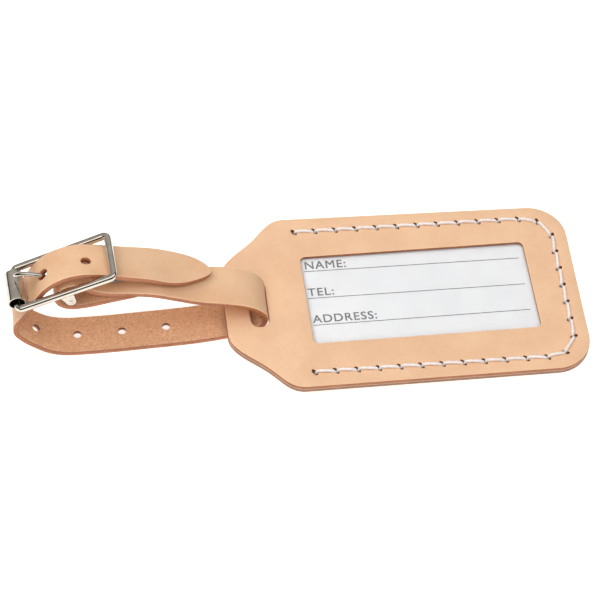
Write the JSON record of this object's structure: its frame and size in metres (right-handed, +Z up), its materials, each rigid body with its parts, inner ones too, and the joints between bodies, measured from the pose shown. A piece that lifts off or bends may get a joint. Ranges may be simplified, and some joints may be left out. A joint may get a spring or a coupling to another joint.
{
  "type": "luggage tag",
  "caption": "Stitched leather luggage tag with a clear window over a name card, on a leather strap with a roller buckle that loops through its slot.",
  "frame": {"origin": "middle of the object's footprint, on the table that it lies on", "axes": "+X along the tag towards its stitched right end, +Y across it, +Z up from the table through the window"},
  "size_m": [0.1684, 0.0608, 0.0308],
  "materials": {
    "panel_leather": "smooth natural vegetable-tanned grain, satin",
    "strap_leather": "smooth grain outside, napped flesh side inside",
    "card_paper": "matt card with ruled lines",
    "clear_film": "clear, glossy",
    "waxed_thread": "twisted, lightly waxed",
    "nickel": "polished nickel plate",
    "rivet_metal": "nickel plate, satin"
  },
  "bodies": {
    "strap_loop": {"strap": "strap_leather", "rivet_post": "rivet_metal", "rivet_cap": "rivet_metal", "buckle_frame": "nickel", "center_bar": "nickel"},
    "tag": {"front_panel": "panel_leather", "back_panel": "panel_leather", "window_film": "clear_film", "seam_thread": "waxed_thread"},
    "card": {"name_card": "card_paper"},
    "roller": {"roller": "nickel"},
    "prong": {"prong": "nickel"}
  },
  "joints": [
    {"name": "tag_swing", "type": "hinge", "parent": "strap_loop", "child": "tag", "pos_m": [-0.0105, 0, 0.0037], "axis": [0, 1, 0], "range_deg": [0, 24]},
    {"name": "card_slide", "type": "slide", "parent": "tag", "child": "card", "axis": [-0.9997, -0.0122, 0.0218], "range_m": [0, 0.007]},
    {"name": "roller_spin", "type": "hinge", "parent": "strap_loop", "child": "roller", "pos_m": [-0.08135, 0.0007, 0.0194], "axis": [-0.061, 0.9981, 0], "continuous": true},
    {"name": "prong_pivot", "type": "hinge", "parent": "strap_loop", "child": "prong", "pos_m": [-0.06629, 0.00162, 0.02075], "axis": [-0.061, 0.9981, 0], "range_deg": [0, 4.5]}
  ]
}
